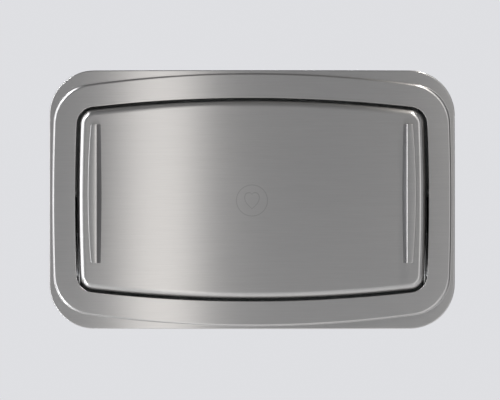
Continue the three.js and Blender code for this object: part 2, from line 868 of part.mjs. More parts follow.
const bed = new THREE.Group();
unit.add(bed);
place("door_skin", doorSkin(), brushed, bed);
place("bed_tray", bedTray(), greyPlastic, bed);
placePair("handle", handle(), brushed, bed);
placePair("hinge_arm", hingeArm(), plated, bed);
placePair("hinge_pin", hingePin(), plated, bed);
placePair("retaining_ring", retainingRing(), plated, bed);
placePair("arm_screw_upper", armScrew(armTall - 16), plated, bed);
placePair("arm_screw_lower", armScrew(crankReach * 0.9), plated, bed);
placePair("crank_nut", crankNut(), plated, bed);
place("strap_lower", strapLower(), webbing, bed);
place("strap_upper", strapUpper(), webbing, bed);
place("strap_anchor_lower", strapAnchor(-1), plated, bed);
place("strap_anchor_upper", strapAnchor(1), plated, bed);
place("anchor_screw_lower", anchorScrew(-1), plated, bed);
place("anchor_screw_upper", anchorScrew(1), plated, bed);
place("buckle_base", buckleBase(), plated, bed);
place("cam_lever", camLever(), darkPlastic, bed);

for (const side of [-1, 1]) {
  const suffix = side > 0 ? "_right" : "_left";
  const strut = new THREE.Group();
  strut.position.set(side * strutCentreX, hingeY + strutY, hingeZ + strutZ);
  strut.rotation.x = strutLean;
  unit.add(strut);
  place("strut_cylinder" + suffix, strutCylinder(), blackPaint, strut);
  place("strut_rod" + suffix, strutRod(), plated, strut);
}
placePair("crank_stud", crankStud(), plated);

const lid = new THREE.Group();
unit.add(lid);
place("dispenser_lid", dispenserLid(), darkPlastic, lid);
place("lock_barrel", lockBarrel(), plated, lid);
place("lock_plug", lockPlug(), plated, lid);

export default station;
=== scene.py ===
import json
import math

import bmesh
import bpy
import numpy as np
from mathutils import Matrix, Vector


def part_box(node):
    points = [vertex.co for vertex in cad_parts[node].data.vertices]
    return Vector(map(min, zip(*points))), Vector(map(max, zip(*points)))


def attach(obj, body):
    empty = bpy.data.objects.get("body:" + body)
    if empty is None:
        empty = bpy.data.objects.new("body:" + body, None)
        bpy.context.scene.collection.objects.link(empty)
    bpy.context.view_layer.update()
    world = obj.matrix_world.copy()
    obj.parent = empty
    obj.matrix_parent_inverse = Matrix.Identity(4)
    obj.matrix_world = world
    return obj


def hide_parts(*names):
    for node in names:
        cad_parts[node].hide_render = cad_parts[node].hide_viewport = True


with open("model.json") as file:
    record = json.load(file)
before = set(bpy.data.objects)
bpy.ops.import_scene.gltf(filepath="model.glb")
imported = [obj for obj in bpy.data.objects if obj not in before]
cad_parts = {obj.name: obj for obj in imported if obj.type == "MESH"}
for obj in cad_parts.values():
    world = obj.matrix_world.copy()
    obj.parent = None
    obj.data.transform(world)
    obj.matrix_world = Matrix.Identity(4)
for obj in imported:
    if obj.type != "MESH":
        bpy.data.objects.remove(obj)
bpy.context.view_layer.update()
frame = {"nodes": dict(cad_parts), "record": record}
record = frame["record"]
joints = {joint["name"]: joint for joint in record["behaviour"]["joints"]}
print("frame loaded:", len(frame["nodes"]), "nodes")


def boxOf(node):
    low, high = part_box(node)
    return np.array(low), np.array(high)


# The middle of the trim frame is the unit's middle; outlines are worked out about it.
trimLow, trimHigh = boxOf("trim_frame")
doorLow, doorHigh = boxOf("door_skin")
trayLow, trayHigh = boxOf("bed_tray")
middle = (trimLow + trimHigh) / 2
centreZ = middle[2]

# Surfaces.


def barrelOutline(halfWidth, halfHeight, crown, side, corner, longSteps=36, cornerSteps=18):
    # Four bowed sides and four round corners. A corner's centre is where a circle of radius
    # crown - corner about (0, halfHeight - crown) meets one of side - corner about
    # (halfWidth - side, 0). Points go round as centre + radius * (cos a, sin a).
    crownZ = halfHeight - crown
    sideX = halfWidth - side
    apart = math.hypot(sideX, crownZ)
    along = ((crown - corner) ** 2 - (side - corner) ** 2 + apart ** 2) / (2 * apart)
    across = math.sqrt((crown - corner) ** 2 - along ** 2)
    ux, uz = sideX / apart, -crownZ / apart
    cx, cz = ux * along + uz * across, crownZ + uz * along - ux * across
    a = math.atan2(cz, cx - sideX)
    b = math.atan2(cz - crownZ, cx)
    pi = math.pi
    arcs = [
        (sideX, 0, side, -a, a, longSteps),
        (cx, cz, corner, a, b, cornerSteps),
        (0, crownZ, crown, b, pi - b, longSteps * 2),
        (-cx, cz, corner, pi - b, pi - a, cornerSteps),
        (-sideX, 0, side, pi - a, pi + a, longSteps),
        (-cx, -cz, corner, pi + a, pi + b, cornerSteps),
        (0, -crownZ, crown, pi + b, 2 * pi - b, longSteps * 2),
        (cx, -cz, corner, 2 * pi - b, 2 * pi - a, cornerSteps),
    ]
    rows = []
    for x, z, radius, start, end, steps in arcs:
        turn = np.linspace(start, end, steps, endpoint=False)
        rows.append(np.stack([x + radius * np.cos(turn), z + radius * np.sin(turn)], 1))
    return np.concatenate(rows)


def ringAt(size, grow, y, scale=1.0):
    # The outline of size moved outwards by grow, at depth y, all in metres about the unit's middle.
    outline = barrelOutline(*[(part + grow) for part in size]) * scale
    depth = np.full(len(outline), y)
    return np.stack([outline[:, 0] + middle[0], depth, outline[:, 1] + centreZ], 1)


def roundOver(first, last, steps=6, alongFirst=True):
    # A quarter ellipse from one ring to another: x and z go by 1 - cos t and y by sin t where it
    # leaves along y, and the other way round where it leaves across.
    turn = np.linspace(0, math.pi / 2, steps + 1)
    across, along = 1 - np.cos(turn), np.sin(turn)
    if not alongFirst:
        across, along = along, across
    share = np.stack([across, along, across], 1)[:, None, :]
    return list(first + (last - first) * share)


def between(first, second, count):
    # Straight steps from one ring to another, without either end.
    shares = np.linspace(0, 1, count + 2)[1:-1, None, None]
    return list(first + (second - first) * shares)


def meshOf(name, points, faces, uv=None):
    mesh = bpy.data.meshes.new(name)
    mesh.from_pydata(points.tolist(), [], faces)
    if uv is not None:
        layer = mesh.uv_layers.new(name="grain")
        index = np.zeros(len(mesh.loops), np.int32)
        mesh.loops.foreach_get("vertex_index", index)
        layer.data.foreach_set("uv", uv[index].astype(np.float32).ravel())
    mesh.update()
    piece = bpy.data.objects.new(name, mesh)
    bpy.context.scene.collection.objects.link(piece)
    return piece


def gridFaces(rows, columns, wrapRows=False, wrapColumns=True, start=0):
    # Quads between neighbouring points of a rows by columns grid, as index arithmetic.
    r = np.arange(rows if wrapRows else rows - 1)[:, None]
    c = np.arange(columns if wrapColumns else columns - 1)[None, :]
    r2, c2 = (r + 1) % rows, (c + 1) % columns
    quads = [r * columns + c, r * columns + c2, r2 * columns + c2, r2 * columns + c]
    stacked = np.stack(np.broadcast_arrays(*quads), -1).reshape(-1, 4)
    return (stacked + start).tolist()


def loftPiece(name, rings, wrapRows=False, poles=(None, None)):
    # Rings of equal count joined in order. A pole is a point that closes the first or last ring.
    grid = np.stack(rings)
    rows, columns = grid.shape[:2]
    points = grid.reshape(-1, 3)
    faces = gridFaces(rows, columns, wrapRows)
    ring = np.arange(columns)
    for end, pole in enumerate(poles):
        if pole is None:
            continue
        points = np.concatenate([points, [pole]])
        tip = len(points) - 1
        first = ring + (rows - 1) * columns * end
        second = np.roll(first, -1)
        pair = (second, first) if end == 0 else (first, second)
        faces += np.stack([*pair, np.full(columns, tip)], 1).tolist()
    uv = np.stack([points[:, 2], points[:, 0]], 1)
    return meshOf(name, points, faces, uv)


def faceOutwards(piece):
    # Recalculates the normals of a closed piece, so that they all point out.
    sheet = bmesh.new()
    sheet.from_mesh(piece.data)
    bmesh.ops.remove_doubles(sheet, verts=sheet.verts, dist=1e-6)
    bmesh.ops.recalc_face_normals(sheet, faces=sheet.faces)
    sheet.to_mesh(piece.data)
    sheet.free()


def smooth(piece, degrees=32):
    piece.data.polygons.foreach_set("use_smooth", np.ones(len(piece.data.polygons), bool))
    piece.data.set_sharp_from_angle(angle=math.radians(degrees))


def finishPiece(piece, body, nodes, material, degrees=32, outwards=True):
    if outwards:
        faceOutwards(piece)
    smooth(piece, degrees)
    piece.data.materials.clear()
    piece.data.materials.append(material)
    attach(piece, body)
    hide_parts(*nodes)
    return piece


def turned(profile, origin, direction, sides=40):
    # A profile of (radius, height) pairs turned about a line: origin + height * direction
    # + radius * (cos a * u + sin a * v). It starts and ends on the axis.
    direction = np.array(direction, float) / np.linalg.norm(direction)
    aside = np.array([1.0, 0, 0]) if abs(direction[0]) < 0.8 else np.array([0, 0, 1.0])
    u = np.cross(direction, aside)
    u /= np.linalg.norm(u)
    v = np.cross(direction, u)
    radius, height = np.array(profile, float).T
    turn = np.linspace(0, 2 * math.pi, sides, endpoint=False)
    round2 = np.cos(turn)[None, :, None] * u + np.sin(turn)[None, :, None] * v
    points = np.array(origin) + height[:, None, None] * direction + radius[:, None, None] * round2
    return points.reshape(-1, 3), gridFaces(len(profile), sides)


def joined(*parts):
    # Several (points, faces) pairs as one pair.
    points, faces, start = [], [], 0
    for somePoints, someFaces in parts:
        points.append(np.asarray(somePoints))
        faces += [[i + start for i in face] for face in someFaces]
        start += len(somePoints)
    return np.concatenate(points), faces


def filletPath(corners, radii, steps=5):
    # A polyline whose corners are arcs: each arc bends from one side to the next as a
    # quadratic curve p(t) = (1-t)^2 a + 2t(1-t) corner + t^2 b, a and b one radius from it.
    corners = np.array(corners, float)
    path = []
    count = len(corners)
    t = np.linspace(0, 1, steps + 1)[:, None]
    for i, radius in enumerate(radii):
        here = corners[i]
        if radius <= 0:
            path.append(here[None])
            continue
        before, after = corners[i - 1] - here, corners[(i + 1) % count] - here
        a = here + before / np.linalg.norm(before) * radius
        b = here + after / np.linalg.norm(after) * radius
        path.append((1 - t) ** 2 * a + 2 * t * (1 - t) * here + t ** 2 * b)
    return np.concatenate(path)


# Materials.


class Shader:
    # A material's nodes, with short calls to add and join them.
    def __init__(self, name, colour, metallic=0.0, roughness=0.5, **fixed):
        self.material = bpy.data.materials.new(name)
        self.material.use_nodes = True
        self.tree = self.material.node_tree
        self.bsdf = self.tree.nodes["Principled BSDF"]
        self.set(self.bsdf, "Base Color", (*colour, 1))
        self.set(self.bsdf, "Metallic", metallic)
        self.set(self.bsdf, "Roughness", roughness)
        for key, value in fixed.items():
            self.set(self.bsdf, key.replace("_", " "), value)
        self.coords = self.tree.nodes.new("ShaderNodeTexCoord").outputs["Object"]

    def set(self, node, socket, value):
        if isinstance(value, bpy.types.NodeSocket):
            self.tree.links.new(value, node.inputs[socket])
        else:
            node.inputs[socket].default_value = value

    def node(self, kind, output=0, options=None, **inputs):
        made = self.tree.nodes.new("ShaderNode" + kind)
        for key, value in (options or {}).items():
            setattr(made, key, value)
        for key, value in inputs.items():
            self.set(made, key.replace("_", " "), value)
        return made.outputs[output]

    def noise(self, scale, detail=3.0, rough=0.5, vector=None):
        return self.node("TexNoise", 0, None, Vector=vector or self.coords, Scale=scale,
                         Detail=detail, Roughness=rough)

    def stretched(self, x, y, z):
        return self.node("Mapping", 0, None, Vector=self.coords, Scale=(x, y, z))

    def math(self, operation, a, b=0.0, clamp=False):
        made = self.tree.nodes.new("ShaderNodeMath")
        made.operation = operation
        made.use_clamp = clamp
        self.set(made, 0, a)
        self.set(made, 1, b)
        return made.outputs[0]

    def range(self, value, low, high, fromLow=0.0, fromHigh=1.0):
        return self.node("MapRange", 0, None, Value=value, **{
            "From_Min": fromLow, "From_Max": fromHigh, "To_Min": low, "To_Max": high})

    def mix(self, share, a, b):
        made = self.tree.nodes.new("ShaderNodeMix")
        made.data_type = "RGBA"
        self.set(made, 0, share)
        self.set(made, 6, a if isinstance(a, bpy.types.NodeSocket) else (*a, 1))
        self.set(made, 7, b if isinstance(b, bpy.types.NodeSocket) else (*b, 1))
        return made.outputs[2]

    def bump(self, height, strength, distance):
        normal = self.node("Bump", 0, None, Height=height, Strength=strength, Distance=distance)
        self.set(self.bsdf, "Normal", normal)
        return normal

    def split(self):
        parts = self.tree.nodes.new("ShaderNodeSeparateXYZ")
        self.set(parts, 0, self.coords)
        return parts.outputs


def brushedSteel(name, look, mark=None, inner=None):
    # Long streaks along X: two noises, each of (x, y, z) times its own stretch, added half and half.
    # With inner, the faces nearer the middle than a distance in x get painted shade: a darker colour in place
    # of the dark reflection seen in the handles' webs.
    shader = Shader(name, look["colour"], look["metal"], look["roughness"], Anisotropic=look["anisotropy"])
    fine = shader.noise(1.0, 2.0, 0.6, shader.stretched(*look["fine"]))
    broad = shader.noise(1.0, 3.0, 0.55, shader.stretched(*look["broad"]))
    cloud = shader.noise(3.5, 2.0, 0.5)
    streaks = shader.math("ADD", shader.math("MULTIPLY", fine, 0.5), shader.math("MULTIPLY", broad, 0.5))
    share = shader.range(streaks, 0.0, 1.0, 0.36, 0.64)
    light = [part * (1 + look["streak"]) for part in look["colour"]]
    dark = [part * (1 - look["streak"]) for part in look["colour"]]
    colour = shader.mix(share, dark, light)
    cloudy = shader.range(cloud, 0.0, 1.0, 0.35, 0.65)
    colour = shader.mix(shader.math("MULTIPLY", cloudy, 0.25), colour, look["tint"])
    rough = shader.range(streaks, look["roughness"] - 0.015, look["roughness"] + 0.015, 0.3, 0.7)
    # Painted shade: faces nearer the middle than inner's distance in x take the darker colour.
    if inner:
        near = shader.range(shader.math("ABSOLUTE", shader.split()[0]), 1.0, 0.0, inner["from"], inner["to"])
        colour = shader.mix(near, colour, inner["colour"])
    if mark:
        etched = markMask(shader, mark)
        colour = shader.mix(shader.math("MULTIPLY", etched, mark["depth"]), colour, mark["colour"])
        rough = shader.math("ADD", rough, shader.math("MULTIPLY", etched, 0.12))
    shader.set(shader.bsdf, "Base Color", colour)
    shader.set(shader.bsdf, "Roughness", rough)
    shader.bump(fine, look["bump"], 0.00002)
    tangent = shader.tree.nodes.new("ShaderNodeTangent")
    tangent.direction_type = "UV_MAP"
    tangent.uv_map = "grain"
    shader.set(shader.bsdf, "Tangent", tangent.outputs[0])
    return shader.material


def markMask(shader, mark):
    # A plain mark: a ring with a heart inside it. Each is the distance from the shape's line,
    # taken to 1 on the line and to 0 about a line's width away.
    x, y, z = shader.split()
    m = shader.math
    px = m("SUBTRACT", x, mark["x"])
    pz = m("SUBTRACT", z, mark["z"])

    def line(distance):
        return shader.range(m("ABSOLUTE", distance), 1.0, 0.0, mark["line"] * 0.5, mark["line"] * 1.1)

    def length(a, b):
        return m("SQRT", m("ADD", m("MULTIPLY", a, a), m("MULTIPLY", b, b)))

    ring = line(m("SUBTRACT", length(px, pz), mark["ring"]))
    # Heart: a^2 + (b - 0.62 * sqrt|a|)^2 = 1, with a and b scaled by its size.
    a = m("DIVIDE", px, mark["heart"])
    b = m("DIVIDE", m("ADD", pz, mark["heartDrop"]), mark["heart"])
    lift = m("MULTIPLY", m("SQRT", m("ABSOLUTE", a)), 0.62)
    heart = length(a, m("SUBTRACT", b, lift))
    heartLine = line(m("MULTIPLY", m("SUBTRACT", heart, 1.0), mark["heart"]))
    front = m("LESS_THAN", y, mark["frontY"])
    return m("MULTIPLY", m("MAXIMUM", ring, heartLine), front)


def galvanisedSteel(name, look):
    # Spangle: each cell of a Voronoi pattern has its own grey.
    shader = Shader(name, look["colour"], 1.0, look["roughness"])
    cells = shader.node("TexVoronoi", 1, None, Vector=shader.coords, Scale=look["cells"])
    grey = shader.node("RGBToBW", 0, None, Color=cells)
    stain = shader.noise(9.0, 4.0)
    darker = [part * 0.74 for part in look["colour"]]
    colour = shader.mix(shader.range(grey, 0, 1, 0.2, 0.8), darker, look["colour"])
    colour = shader.mix(shader.range(stain, 0, 0.3, 0.45, 0.8), colour, (0.36, 0.37, 0.37))
    shader.set(shader.bsdf, "Base Color", colour)
    rough = shader.range(grey, look["roughness"] - 0.1, look["roughness"] + 0.12)
    shader.set(shader.bsdf, "Roughness", rough)
    shader.bump(shader.noise(420.0, 2.0), 0.2, 0.00008)
    return shader.material


def platedSteel(name, look):
    # Smooth plating, a little uneven in colour and in gloss.
    shader = Shader(name, look["colour"], 1.0, look["roughness"])
    wash = shader.noise(38.0, 3.0)
    scuff = shader.noise(1.0, 2.0, 0.7, shader.stretched(300, 900, 300))
    shader.set(shader.bsdf, "Base Color", shader.mix(shader.range(wash, 0, 1, 0.35, 0.65),
                                                     look["colour"], look["tint"]))
    shader.set(shader.bsdf, "Roughness", shader.range(scuff, look["roughness"] - 0.06,
                                                      look["roughness"] + 0.12, 0.3, 0.7))
    shader.bump(scuff, 0.1, 0.00003)
    return shader.material


def mouldedPlastic(name, look):
    # Spark-eroded texture: fine noise as bump, with the gloss a little uneven.
    shader = Shader(name, look["colour"], 0.0, look["roughness"], Specular_IOR_Level=0.45)
    grain = shader.noise(look["grain"], 2.0, 0.65)
    wash = shader.noise(6.0, 4.0)
    scuffs = shader.noise(1.0, 3.0, 0.7, shader.stretched(60, 14, 60))
    base = shader.mix(shader.range(wash, 0, 1, 0.3, 0.7), look["colour"], look["tint"])
    worn = shader.range(scuffs, 0.0, look["wear"], 0.58, 0.75)
    shader.set(shader.bsdf, "Base Color", shader.mix(worn, base, look["scuff"]))
    shader.set(shader.bsdf, "Roughness", shader.range(wash, look["roughness"] - 0.06,
                                                      look["roughness"] + 0.08, 0.3, 0.7))
    shader.bump(grain, look["bump"], 0.00015)
    return shader.material


def wovenWeb(name, look):
    # Twill: ridges run across the strap, stepped along its length, from the piece's own map.
    shader = Shader(name, look["colour"], 0.0, 0.85, Sheen_Weight=0.3, Sheen_Roughness=0.5)
    uv = shader.tree.nodes.new("ShaderNodeUVMap")
    uv.uv_map = "grain"
    parts = shader.tree.nodes.new("ShaderNodeSeparateXYZ")
    shader.set(parts, 0, uv.outputs[0])
    along, across = parts.outputs[0], parts.outputs[1]
    m = shader.math
    rib = m("SINE", m("MULTIPLY", m("ADD", along, m("MULTIPLY", m("PINGPONG", across, 0.006), 1.4)),
                      2 * math.pi / look["rib"]))
    yarn = m("SINE", m("MULTIPLY", across, 2 * math.pi / look["yarn"]))
    weave = m("MULTIPLY", m("ADD", m("MULTIPLY", rib, 0.6), m("MULTIPLY", yarn, 0.4)), 0.5)
    height = m("ADD", weave, 0.5)
    fuzz = shader.noise(900.0, 2.0)
    share = shader.range(m("ADD", height, m("MULTIPLY", fuzz, 0.4)), 0, 1, 0.2, 1.3)
    shader.set(shader.bsdf, "Base Color", shader.mix(share, look["shade"], look["colour"]))
    shader.bump(height, 0.7, 0.0004)
    return shader.material


def paperStack(name):
    # Folded sheets: thin lines of shade across the stack's height.
    shader = Shader(name, (0.86, 0.85, 0.81), 0.0, 0.9)
    edges = shader.noise(1.0, 2.0, 0.5, shader.stretched(4, 9, 900))
    fibre = shader.noise(260.0, 3.0)
    tone = shader.mix(shader.range(edges, 0, 1, 0.4, 0.62), (0.62, 0.61, 0.58), (0.9, 0.89, 0.86))
    speckle = shader.range(fibre, 0, 0.25, 0.4, 0.7)
    shader.set(shader.bsdf, "Base Color", shader.mix(speckle, tone, (0.78, 0.76, 0.7)))
    shader.bump(edges, 0.8, 0.0006)
    return shader.material


steelLook = {
    "colour": (0.6, 0.588, 0.58), "tint": (0.57, 0.562, 0.566), "roughness": 0.3,
    "metal": 0.95, "anisotropy": 0.86, "streak": 0.035, "bump": 0.05,
    "fine": (22, 60, 1900), "broad": (11, 30, 420),  # stretches of the grain's two noises
}
markLook = {
    "x": 0.0, "z": centreZ - 0.002, "ring": 0.036, "heart": 0.017, "heartDrop": 0.004, "line": 0.0013,
    "colour": (0.40, 0.395, 0.39), "depth": 0.6, "frontY": doorLow[1] + 0.0003,
}
steel = brushedSteel("brushed steel sheet", steelLook)
doorSteel = brushedSteel("brushed steel door", steelLook, markLook)
handleFoot = boxOf("handle_right")[0][0]
# Painted shade for the handles' leaning webs: faces nearer the middle than this distance in x take a dark
# colour.
webShadeLook = {"from": handleFoot + 0.0085, "to": handleFoot + 0.0092, "colour": (0.2, 0.2, 0.21)}
handleSteel = brushedSteel("brushed steel handle", steelLook, None, webShadeLook)
zinc = galvanisedSteel("galvanised sheet", {
    "colour": (0.44, 0.455, 0.46), "roughness": 0.5, "cells": 75.0})
plated = platedSteel("zinc plating", {
    "colour": (0.66, 0.67, 0.69), "tint": (0.6, 0.6, 0.585), "roughness": 0.3})
polished = platedSteel("polished rod", {
    "colour": (0.72, 0.72, 0.73), "tint": (0.68, 0.68, 0.69), "roughness": 0.14})
greyPlastic = mouldedPlastic("grey moulding", {
    "colour": (0.62, 0.625, 0.62), "tint": (0.56, 0.565, 0.57), "scuff": (0.42, 0.42, 0.42),
    "roughness": 0.48, "grain": 650.0, "bump": 0.35, "wear": 0.35})
darkPlastic = mouldedPlastic("dark moulding", {
    "colour": (0.035, 0.037, 0.042), "tint": (0.045, 0.047, 0.052), "scuff": (0.12, 0.12, 0.125),
    "roughness": 0.4, "grain": 800.0, "bump": 0.3, "wear": 0.3})
rubber = mouldedPlastic("black rubber", {
    "colour": (0.018, 0.018, 0.019), "tint": (0.03, 0.03, 0.031), "scuff": (0.09, 0.09, 0.09),
    "roughness": 0.78, "grain": 500.0, "bump": 0.4, "wear": 0.5})
blackPaint = mouldedPlastic("satin black paint", {
    "colour": (0.012, 0.012, 0.014), "tint": (0.018, 0.018, 0.02), "scuff": (0.06, 0.06, 0.065),
    "roughness": 0.3, "grain": 120.0, "bump": 0.15, "wear": 0.25})
webCloth = wovenWeb("woven webbing", {
    "colour": (0.035, 0.037, 0.043), "shade": (0.008, 0.008, 0.01), "rib": 0.0016, "yarn": 0.0021})
paper = paperStack("folded paper")
print("materials made")

# Trim frame.

trim = {
    "corner": 0.104, "straight": 90.0, "rimRound": 0.0025, "rimDepth": 0.0035,
    "landCrown": 2.755, "landSide": 5.3, "landCorner": 0.09,
    "landSideInset": 0.0088, "landTopInset": 0.0079, "landRound": 0.004, "landTopCorner": 0.096,
    "footRound": 0.0016, "turnedEdge": 0.0001,
    "mouthCrown": 3.3, "mouthSide": 4.3, "mouthCorner": 0.041,
    "sideBand": 0.0605, "topBand": 0.0645, "mouthRound": 0.0012, "sheet": 0.0012,
    "hold": 0.0004,  # a ring this far inside each flat keeps its shading flat
}
trimHalf = (trimHigh - trimLow) / 2
rimSize = (trimHalf[0], trimHalf[2], trim["straight"], trim["straight"], trim["corner"])
landSize = (trimHalf[0] - trim["landSideInset"], trimHalf[2] - trim["landTopInset"],
            trim["landCrown"], trim["landSide"], trim["landCorner"])
mouthSize = (trimHalf[0] - trim["sideBand"], trimHalf[2] - trim["topBand"],
             trim["mouthCrown"], trim["mouthSide"], trim["mouthCorner"])


def makeTrim():
    # Rings from the wall round the rim, over the step on to the land, in to the mouth and back
    # through the sheet's inner side to the first ring. The step is wider at the corners, where
    # the land's top edge has the larger corner.
    front, back = trimLow[1], trimHigh[1]
    rim, sheet, hold = -trim["rimDepth"], trim["sheet"], trim["hold"]
    r, foot, top, lip = trim["rimRound"], trim["footRound"], trim["landRound"], trim["mouthRound"]
    landTop = (*[part - top for part in landSize[:4]], trim["landTopCorner"])
    rings = [ringAt(rimSize, 0, -trim["turnedEdge"])]
    rings += roundOver(ringAt(rimSize, 0, rim + r), ringAt(rimSize, -r, rim), 7)
    rings += [ringAt(rimSize, -r - hold, rim), ringAt(landSize, foot + hold, rim)]
    rings += roundOver(ringAt(landSize, foot, rim), ringAt(landSize, 0, rim - foot), 5, False)
    rings += roundOver(ringAt(landSize, 0, front + top), ringAt(landTop, 0, front), 10)
    landEdge = ringAt(landTop, -hold, front)
    mouthEdge = ringAt(mouthSize, lip + hold, front)
    rings += [landEdge, *between(landEdge, mouthEdge, 8), mouthEdge]
    rings += roundOver(ringAt(mouthSize, lip, front), ringAt(mouthSize, 0, front + lip), 7, False)
    rings += [ringAt(mouthSize, 0, back), ringAt(mouthSize, sheet, back)]
    rings += roundOver(ringAt(mouthSize, sheet, front + lip), ringAt(mouthSize, lip, front + sheet), 3)
    underTop, underSide = ringAt(landTop, -sheet, front + sheet), ringAt(landSize, -sheet, front + top)
    rings += roundOver(underTop, underSide, 3, False)
    rings += [ringAt(landSize, -sheet, rim + sheet), ringAt(rimSize, -r, rim + sheet),
              ringAt(rimSize, -sheet, rim + r), ringAt(rimSize, -sheet, -trim["turnedEdge"])]
    return loftPiece("trimFrame", rings, wrapRows=True)


finishPiece(makeTrim(), "frame", ["trim_frame"], steel, 50)
print("trim frame made")

# Door.

door = {
    "gap": 0.007, "round": 0.0155, "sheet": 0.001,
    "shares": (0.9985, 0.97, 0.9, 0.75, 0.5, 0.25, 0.08),  # rings of the face, the first holds it flat
}
doorSize = tuple(part - door["gap"] for part in mouthSize)


def makeDoor():
    # Rings from the turned back edge, over the round edge on to the face and in to its middle,
    # and the same again one sheet inside.
    front, back = doorLow[1], doorHigh[1]
    r, sheet = door["round"], door["sheet"]
    face = ringAt(doorSize, -r, front)
    centre = np.array([middle[0], front, centreZ])
    outer = [ringAt(doorSize, 0, back)] + roundOver(ringAt(doorSize, 0, front + r), face, 18)
    outer += [centre + (face - centre) * share for share in door["shares"]]
    inside = ringAt(doorSize, -r, front + sheet)
    behind = centre + np.array([0, sheet, 0])
    inner = [ringAt(doorSize, -sheet, back)] + roundOver(ringAt(doorSize, -sheet, front + r), inside, 6)
    inner += [behind + (inside - behind) * share for share in (0.9, 0.5, 0.08)]
    return loftPiece("doorSkin", inner[::-1] + outer, poles=(behind, centre))


finishPiece(makeDoor(), "bed", ["door_skin"], doorSteel, 50)
print("door made")

# Handles.

grip = {
    "lean": 0.0095, "width": 0.0215, "lip": 0.010, "flange": 0.022, "sheet": 0.002,
    "bow": 1.85, "softEdge": 0.0023, "endRound": 0.005, "footBow": 0.0022,
    "cornerRound": 0.0004, "edgeRound": 0.0008, "bendRound": 0.001,
}


def makeHandle(side):
    # The channel's closed profile (p away from the web's foot, s off the door), carried up z:
    # x = side * (foot + p - sag(z) * ramp(p)), where sag(z) = bow - sqrt(bow^2 - z^2), and near
    # an end sag also takes the round corner, R - sqrt(R^2 - (R - d)^2) at a distance d from it.
    node = "handle_right" if side > 0 else "handle_left"
    low, high = boxOf(node)
    footX = low[0] if side > 0 else -high[0]
    back = high[1]
    stand = high[1] - low[1]
    t, lean, tip = grip["sheet"], grip["lean"], grip["lean"] + grip["width"]
    slope = lean / stand
    web = t * math.hypot(1, slope)
    soft, corner, edgeRound = grip["softEdge"], grip["cornerRound"], grip["edgeRound"]
    profile = filletPath(
        [(0, 0), (lean, stand), (tip, stand), (tip, stand - grip["lip"]),
         (tip - t, stand - grip["lip"]), (tip - t, stand - t), (web + (stand - t) * slope, stand - t),
         (web + t * slope, t), (grip["flange"], t), (grip["flange"], 0)],
        [corner, soft, soft, edgeRound, edgeRound, soft * 0.4, soft * 0.4, grip["bendRound"], edgeRound,
         corner], 5)
    closed = filletPath(
        [(0, 0), (lean, stand), (tip, stand), (tip, stand - grip["lip"]), (grip["flange"], 0)],
        [corner, soft, soft, edgeRound, corner], 5)
    half = (high[2] - low[2]) / 2
    mid = (high[2] + low[2]) / 2

    def carried(shape, heights):
        p, s = shape[:, 0][None, :], shape[:, 1][None, :]
        z = heights[:, None]
        sag = grip["bow"] - np.sqrt(grip["bow"] ** 2 - (z - mid) ** 2)
        radius = grip["endRound"]
        inRound = np.clip(radius - (half - np.abs(z - mid)), 0, radius)
        sag = sag + radius - np.sqrt(radius ** 2 - inRound ** 2)
        ramp = np.clip((p - lean) / (tip - lean), 0, 1)
        footRamp = np.clip(1 - p / lean, 0, 1) * (s < stand * 0.7)
        x = side * (footX + p - sag * ramp + grip["footBow"] * ((z - mid) / half) ** 2 * footRamp)
        y = back - s + 0 * z
        return np.stack([x, y, z + 0 * p], -1)

    def capped(grid):
        rows, columns = grid.shape[:2]
        faces = gridFaces(rows, columns)
        faces.append(list(range(columns)))
        faces.append([(rows - 1) * columns + i for i in range(columns)][::-1])
        return grid.reshape(-1, 3), faces

    edge = corner
    nearEnd = half - grip["endRound"] * (1 - np.cos(np.linspace(0, math.pi / 2, 7)))
    ends = []
    for sign in (-1, 1):
        outer = mid + sign * half
        inner = nearEnd[(nearEnd > half - t) & (nearEnd < half - edge)]
        levels = np.concatenate([[outer - sign * t], mid + sign * inner[::-1], [outer - sign * edge, outer]])
        grid = carried(closed, levels)
        centre = grid[-1].mean(0)
        grid[-1] = centre + (grid[-1] - centre) * np.array([0.97, 0.985, 1])
        ends.append(capped(grid))
    rounded = nearEnd[nearEnd < half - t][::-1]
    straight = np.linspace(-1, 1, 33) * (half - grip["endRound"])
    heights = np.concatenate([[t - half], -rounded[::-1], straight, rounded, [half - t]])
    channel = capped(carried(profile, mid + np.unique(heights.round(7))))
    points, faces = joined(channel, *ends)
    uv = np.stack([points[:, 2], points[:, 0]], 1)
    piece = meshOf("pullHandleRight" if side > 0 else "pullHandleLeft", points, faces, uv)
    return finishPiece(piece, "bed", [node], handleSteel, 40)


for side in (1, -1):
    makeHandle(side)
print("handles made")

# Bed.

bed = {
    "inset": 0.0013, "rimWide": 0.020, "cradleRun": 0.060, "cradleRise": 0.066, "deckCorner": 0.025,
    "wall": 0.004, "outerRound": 0.0145, "rimRound": 0.005,
    "armInset": 0.0041, "armTop": 0.094, "armDeep": 0.032, "seatFront": 0.0015, "seatStep": 0.0004,
    "wallRows": (0.012, 0.03),
    "clear": 0.0006,  # how much thinner the wall is than its solid
}
traySize = tuple(part - bed["inset"] for part in doorSize)
hingeY, hingeZ = joints["bed_hinge"]["pos_m"][1:]


